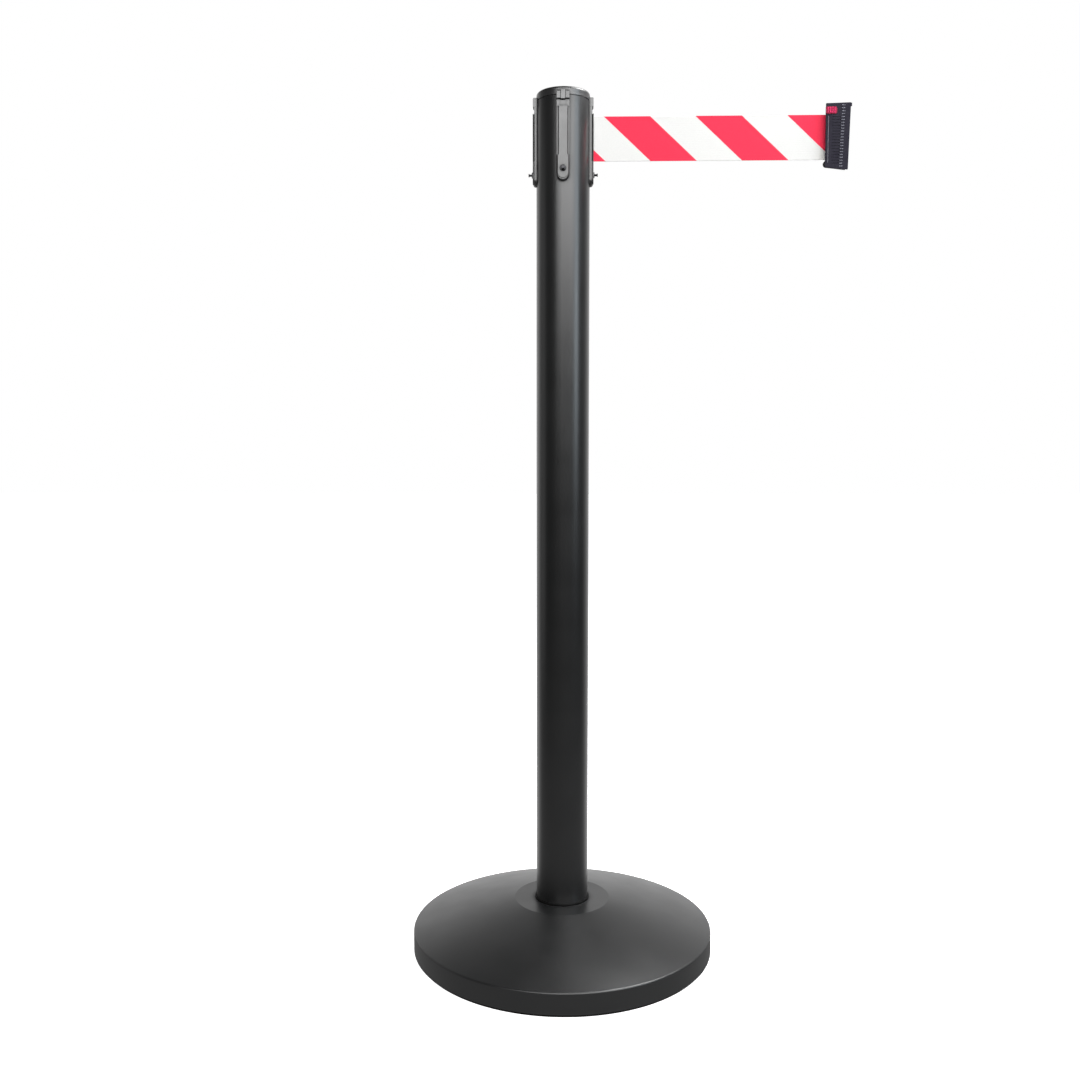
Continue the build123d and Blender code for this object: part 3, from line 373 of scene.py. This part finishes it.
def paint_crest_highlight(look, distances, crest):
    """Painted highlight: lighter colour where the surface stands out from the clip's faces, on both sides.
    """
    start, end = distances
    away = look.maths("ABSOLUTE", look.position()["Y"])
    share = look.ramp(away, 0, 1, start * MM, end * MM)
    colour = look.shader.inputs["Base Color"]
    look.link(look.mixed(share, colour.links[0].from_socket, (*crest, 1)), colour)


def trim_plastic():
    dark, light = (0.003, 0.003, 0.003), (0.005, 0.005, 0.005)
    return moulded_plastic("trim_plastic", dark, light, 0.6, 0.75, 0.15).material


def inner_plastic():
    return moulded_plastic("inner_plastic", (0.4, 0.4, 0.38), (0.5, 0.5, 0.47), 0.45, 0.6).material


def spool_plastic():
    return moulded_plastic("natural_nylon", (0.62, 0.61, 0.56), (0.72, 0.71, 0.66), 0.4, 0.55).material


def glossy_plastic(name, index, rough_low, rough_high):
    """Black plastic of the docking strips and the cap, with dull corners and painted shade in them."""
    look = moulded_plastic(name, (0.008, 0.008, 0.0085), (0.013, 0.013, 0.0135), rough_low, rough_high, 1.0)
    look.shader.inputs["IOR"].default_value = index
    look.paint_crease_shade(3.0, 0.9)
    return look.material


def clip_plastic():
    look = moulded_plastic("clip_plastic", (0.015, 0.013, 0.024), (0.020, 0.018, 0.030), 0.42, 0.52, 0.10)
    # Painted highlight: the grip ribs and the bead are lighter where they stand out from the faces.
    paint_crest_highlight(look, CLIP_CREST_HIGHLIGHT, (0.17, 0.17, 0.20))
    return look.material


def slide_plastic():
    look = moulded_plastic("crimson_plastic", (0.34, 0.0035, 0.043), (0.39, 0.005, 0.053), 0.28, 0.36, 0.12)
    # Painted highlight: the slider's ribs are lighter where they stand out.
    paint_crest_highlight(look, SLIDE_CREST_HIGHLIGHT, (0.80, 0.035, 0.16))
    return look.material


def rubber():
    look = Look("black_rubber", (0.008, 0.008, 0.008), 0.75)
    look.colours(look.noise(3, 3), (0.006, 0.006, 0.006), (0.011, 0.011, 0.011))
    look.roughness(look.noise(5), 0.65, 0.85)
    look.shader.inputs["Specular IOR Level"].default_value = 0.15
    look.bump(look.noise(0.4, 3), 0.02)
    return look.material


def turned_metal(name, colour, rough_low, rough_high):
    look = Look(name, colour, rough_high, 1.0)
    brushed = look.noise(4.0, 3, scale=(1, 1, 30))
    look.roughness(brushed, rough_low, rough_high)
    look.bump(brushed, 0.004)
    return look.material


def cast_iron():
    look = Look("grey_cast_iron", (0.09, 0.09, 0.09), 0.7, 0.6)
    look.colours(look.noise(6, 4), (0.05, 0.05, 0.052), (0.12, 0.12, 0.118))
    look.roughness(look.noise(3, 3), 0.55, 0.85)
    look.bump(look.noise(1.2, 4), 0.15)
    return look.material


def felt():
    look = Look("grey_felt", (0.3, 0.29, 0.27), 0.95)
    look.colours(look.noise(1.0, 4), (0.22, 0.21, 0.2), (0.38, 0.37, 0.34))
    look.bump(look.noise(0.3, 4), 0.1)
    look.shader.inputs["Sheen Weight"].default_value = 0.4
    return look.material


# The belt is printed with diagonal bars that run down towards +X, half red and half white.
STRIPE_PERIOD = 104.0
STRIPE_SLANT = 1.07        # how far a bar runs along the belt for each mm that it runs down
STRIPE_START = 73.4        # X in mm, halfway up the belt, where a red bar starts
STRIPE_SOFTNESS = 0.9      # width in mm of the change from one colour to the other
STRIPE_RAGGED = 0.8        # how far in mm the threads pull the edge of a bar to and fro
WEAVE_PITCH = 0.8
WAVE_TEXTURE_PITCH = 0.314  # pitch of Blender's wave texture at a scale of 1
WHITE_THREADS = ((0.77, 0.762, 0.742, 1), (0.885, 0.877, 0.855, 1))
RED_THREADS = ((0.90, 0.023, 0.070, 1), (1.0, 0.039, 0.096, 1))


def red_share(look):
    """1 in the red bars and 0 in the white ones, by the distance from a white bar's middle."""
    low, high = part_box("belt_span")
    place = look.position()
    along = look.maths("MULTIPLY_ADD", place["Z"], STRIPE_SLANT, place["X"])
    white_middle = (STRIPE_START - STRIPE_PERIOD / 4) * MM + STRIPE_SLANT * (low.z + high.z) / 2
    from_white = look.maths("SUBTRACT", along, white_middle)
    distance = look.maths("PINGPONG", from_white, STRIPE_PERIOD * MM / 2)
    ragged = look.maths("MULTIPLY_ADD", look.noise(0.5), STRIPE_RAGGED * MM, distance)
    edge = STRIPE_PERIOD * MM / 4
    soft = STRIPE_SOFTNESS * MM / 2
    return look.ramp(ragged, 0, 1, edge - soft, edge + soft)


def weave(look):
    bands = look.node("ShaderNodeTexWave")
    bands.wave_type = "BANDS"
    bands.bands_direction = "Z"
    bands.inputs["Scale"].default_value = WAVE_TEXTURE_PITCH / (WEAVE_PITCH * MM)
    bands.inputs["Distortion"].default_value = 0.4
    bands.inputs["Detail"].default_value = 1.0
    look.link(look.coordinates, bands.inputs["Vector"])
    return bands.outputs["Fac"]


def striped_webbing():
    look = Look("striped_webbing", (0.9, 0.9, 0.88), 0.75)
    threads = look.noise(0.45, scale=(0.35, 1, 1.4))
    white = look.mixed(threads, *WHITE_THREADS)
    red = look.mixed(threads, *RED_THREADS)
    look.link(look.mixed(red_share(look), white, red), look.shader.inputs["Base Color"])
    look.bump(weave(look), 0.06)
    look.bump(threads, 0.05)
    look.shader.inputs["Sheen Weight"].default_value = 0.15
    look.shader.inputs["Specular IOR Level"].default_value = 0.3
    return look.material


looks = {
    "black_coat": powder_coat(),
    "cast_iron": cast_iron(),
    "black_rubber": rubber(),
    "zinc_steel": turned_metal("zinc_plated_steel", (0.58, 0.58, 0.6), 0.25, 0.4),
    "black_steel": turned_metal("polished_black_steel", (0.03, 0.03, 0.032), 0.07, 0.13),
    "spring_steel": turned_metal("blued_spring_steel", (0.3, 0.31, 0.35), 0.25, 0.4),
    "trim_plastic": trim_plastic(),
    "strip_plastic": glossy_plastic("strip_plastic", 1.54, 0.31, 0.36),
    "cap_plastic": glossy_plastic("cap_plastic", 1.54, 0.30, 0.38),
    "inner_plastic": inner_plastic(),
    "spool_plastic": spool_plastic(),
    "bush_brass": turned_metal("bearing_brass", (0.7, 0.5, 0.22), 0.3, 0.45),
    "felt": felt(),
    "striped_webbing": striped_webbing(),
    "clip_plastic": clip_plastic(),
    "red_plastic": slide_plastic(),
}

for row in frame["record"]["subparts"]:
    mesh = nodes[row["node"]].data
    mesh.materials.clear()
    mesh.materials.append(looks[row["material_slot"]])


# ---- Belt ----
WEB_THICKNESS = 0.45 * MM
RIB_PITCH = 2.0 * MM
RIB_HEIGHT = 0.05 * MM
SELVEDGE = 1.6 * MM
SELVEDGE_EXTRA = 0.04 * MM
BELT_STEPS_PER_RIB = 4
ROLL_STEPS_PER_RIB = 2
FINE_STEP = 1.0 * MM
COARSE_STEP = 2.0 * MM
PIN_STEPS = 10
LOOP_STEPS = 28
ROLL_STEPS_PER_TURN = 48
LOOP_START = 4.2 * MM      # from the clamp pin's axis to where the two layers of the loop meet
LOOP_PLAY = 0.05 * MM
LOOP_END_SHARE = 0.6       # how much of the way back to there the sewn end reaches
CORE_RADIUS = 10.0 * MM    # of the spool, inside the wound belt
ROLL_CLEARANCE = 0.1 * MM
ROLL_SHRINK = 0.9          # keeps the wound layers just apart


def across_web(low_z, high_z, steps_per_rib):
    """Heights across the webbing, each with half the thickness there: ribs along it, and firmer edges."""
    steps = round((high_z - low_z) / RIB_PITCH) * steps_per_rib
    rows = []
    for number in range(steps + 1):
        z = low_z + (high_z - low_z) * number / steps
        to_edge = min(z - low_z, high_z - z)
        half = WEB_THICKNESS / 2 - RIB_HEIGHT * math.sin(math.pi * (z - low_z) / RIB_PITCH) ** 2
        if to_edge < SELVEDGE:
            half = WEB_THICKNESS / 2 + SELVEDGE_EXTRA * math.sin(math.pi * to_edge / SELVEDGE)
        rows.append((z, half))
    return rows


def web_sides(web, path, rows, shrink):
    """The vertices of both faces of a strip, as columns along the path."""
    sides = {1: [], -1: []}
    for number, point in enumerate(path):
        before = path[max(number - 1, 0)]
        after = path[min(number + 1, len(path) - 1)]
        along = (after - before).normalized()
        across = Vector((-along.y, along.x))
        for side, columns in sides.items():
            offsets = [point + across * side * half * shrink for _, half in rows]
            columns.append([web.verts.new((*xy, z)) for xy, (z, _) in zip(offsets, rows)])
    return sides[1], sides[-1]


def webbing(name, path, rows, shrink=1.0):
    """A closed strip of webbing that follows a path of points in X and Y."""
    web = bmesh.new()
    left, right = web_sides(web, path, rows, shrink)
    top = len(rows) - 1
    end = len(path) - 1
    for column in range(end):
        for row in range(top):
            for columns in (left, right):
                a, b = columns[column], columns[column + 1]
                web.faces.new((a[row], b[row], b[row + 1], a[row + 1]))
        for row in (0, top):
            near = (left[column][row], right[column][row])
            far = (right[column + 1][row], left[column + 1][row])
            web.faces.new(near + far)
    for column in (0, end):
        a, b = left[column], right[column]
        for row in range(top):
            web.faces.new((a[row], a[row + 1], b[row + 1], b[row]))
    bmesh.ops.recalc_face_normals(web, faces=web.faces)
    mesh = bpy.data.meshes.new(name)
    web.to_mesh(mesh)
    web.free()
    mesh.shade_smooth()
    piece = bpy.data.objects.new(name, mesh)
    bpy.context.scene.collection.objects.link(piece)
    mesh.materials.append(looks["striped_webbing"])
    return piece


def circle_point(centre, radius, angle):
    return Vector((centre[0] + radius * math.cos(angle), centre[1] + radius * math.sin(angle)))


def arc(centre, radius, start, end, steps):
    return [circle_point(centre, radius, start + (end - start) * n / steps) for n in range(steps + 1)]


def straight(start, end, step):
    count = max(1, round((end - start).length / step))
    return [start.lerp(end, n / count) for n in range(count + 1)]


def joined(*runs):
    """One path from several runs whose ends meet."""
    path = list(runs[0])
    for run in runs[1:]:
        path.extend(run[1:])
    return path


def follow_by_share(piece, share_at):
    """Set how far each point of a blended piece follows the second body, from 0 to 1."""
    shares = piece.data.attributes["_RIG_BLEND"].data
    for vertex, share in zip(piece.data.vertices, shares):
        share.value = min(max(share_at(vertex.co), 0.0), 1.0)


def leave_radius():
    """Radius of the belt's last turn, which is on its way off the roll."""
    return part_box("belt_roll")[1].x + WEB_THICKNESS / 2 + ROLL_CLEARANCE


def wrap_round_pin():
    """The belt's bend round the guide pin, and the angle at which it leaves the roll for it."""
    pins_low, pins_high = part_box("guide_pins")
    pin_radius = (pins_high.x - pins_low.x) / 2
    pin_x = (pins_low.x + pins_high.x) / 2
    bend_radius = pins_high.y - pin_radius
    roll_radius = leave_radius()
    heading = math.atan2(-bend_radius, pin_x)
    heading += math.asin((roll_radius + bend_radius) / math.hypot(pin_x, bend_radius))
    bend = arc((pin_x, -bend_radius), bend_radius, heading + math.pi / 2, math.pi / 2, PIN_STEPS)
    return bend, heading - math.pi / 2


def make_free_belt():
    """The belt from the roll, round the guide pin, to the sewn loop in the clip."""
    span_low, span_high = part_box("belt_span")
    clamp_low, clamp_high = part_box("belt_clamp_pin")
    clamp_x = (clamp_low.x + clamp_high.x) / 2
    loop_radius = (clamp_high.x - clamp_low.x) / 2 + LOOP_PLAY + WEB_THICKNESS / 2
    loop_angle = math.acos(loop_radius / LOOP_START)
    bend, leave_angle = wrap_round_pin()
    leave = circle_point((0, 0), leave_radius(), leave_angle)
    meet = Vector((clamp_x - LOOP_START, 0))
    loop = arc((clamp_x, 0), loop_radius, math.pi + loop_angle, 3 * math.pi - loop_angle, LOOP_STEPS)
    path = joined(
        straight(leave, bend[0], FINE_STEP),
        bend,
        straight(bend[-1], meet, COARSE_STEP),
        straight(meet, loop[0], FINE_STEP),
        loop,
        straight(loop[-1], loop[-1].lerp(meet, LOOP_END_SHARE), FINE_STEP),
    )
    belt = webbing("belt", path, across_web(span_low.z, span_high.z, BELT_STEPS_PER_RIB))
    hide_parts("belt_span")
    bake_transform(belt, "stand", "belt_end", start=(*bend[-1], span_low.z), end=(*meet, span_low.z))
    # even shares along the belt, so that it never folds over itself
    length = meet.x - bend[-1].x
    follow_by_share(belt, lambda point: (point.x - bend[-1].x) / length)


def make_roll():
    """The wound belt on the spool, a spiral that ends where the free belt leaves it."""
    span_low, span_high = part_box("belt_span")
    roll_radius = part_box("belt_roll")[1].x
    growth = roll_radius - WEB_THICKNESS - CORE_RADIUS
    turns = (roll_radius - CORE_RADIUS) / WEB_THICKNESS
    last_angle = wrap_round_pin()[1]
    count = round(turns * ROLL_STEPS_PER_TURN)
    spiral = []
    for number in range(count + 1):
        wound = number / count
        radius = CORE_RADIUS + WEB_THICKNESS / 2 + growth * wound
        spiral.append(circle_point((0, 0), radius, last_angle - (1 - wound) * turns * math.tau))
    rows = across_web(span_low.z, span_high.z, ROLL_STEPS_PER_RIB)
    roll = webbing("belt_roll_wound", spiral, rows, ROLL_SHRINK)
    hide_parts("belt_roll")
    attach(roll, "spool_body")


make_free_belt()
make_roll()


# ---- Power spring ----
SPRING_INNER = 8.7 * MM
SPRING_OUTER = 23.7 * MM


def make_spring():
    """The power spring: its outer end stays in the cassette while its inner end turns with the spool."""
    spring = bpy.data.objects.new("power_spring_wound", nodes["power_spring"].data.copy())
    bpy.context.scene.collection.objects.link(spring)
    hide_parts("power_spring")
    low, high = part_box("power_spring")
    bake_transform(spring, "stand", "spool_body", start=low, end=high)
    width = SPRING_OUTER - SPRING_INNER
    follow_by_share(spring, lambda point: (SPRING_OUTER - math.hypot(point.x, point.y)) / width)


make_spring()


bpy.context.view_layer.update()
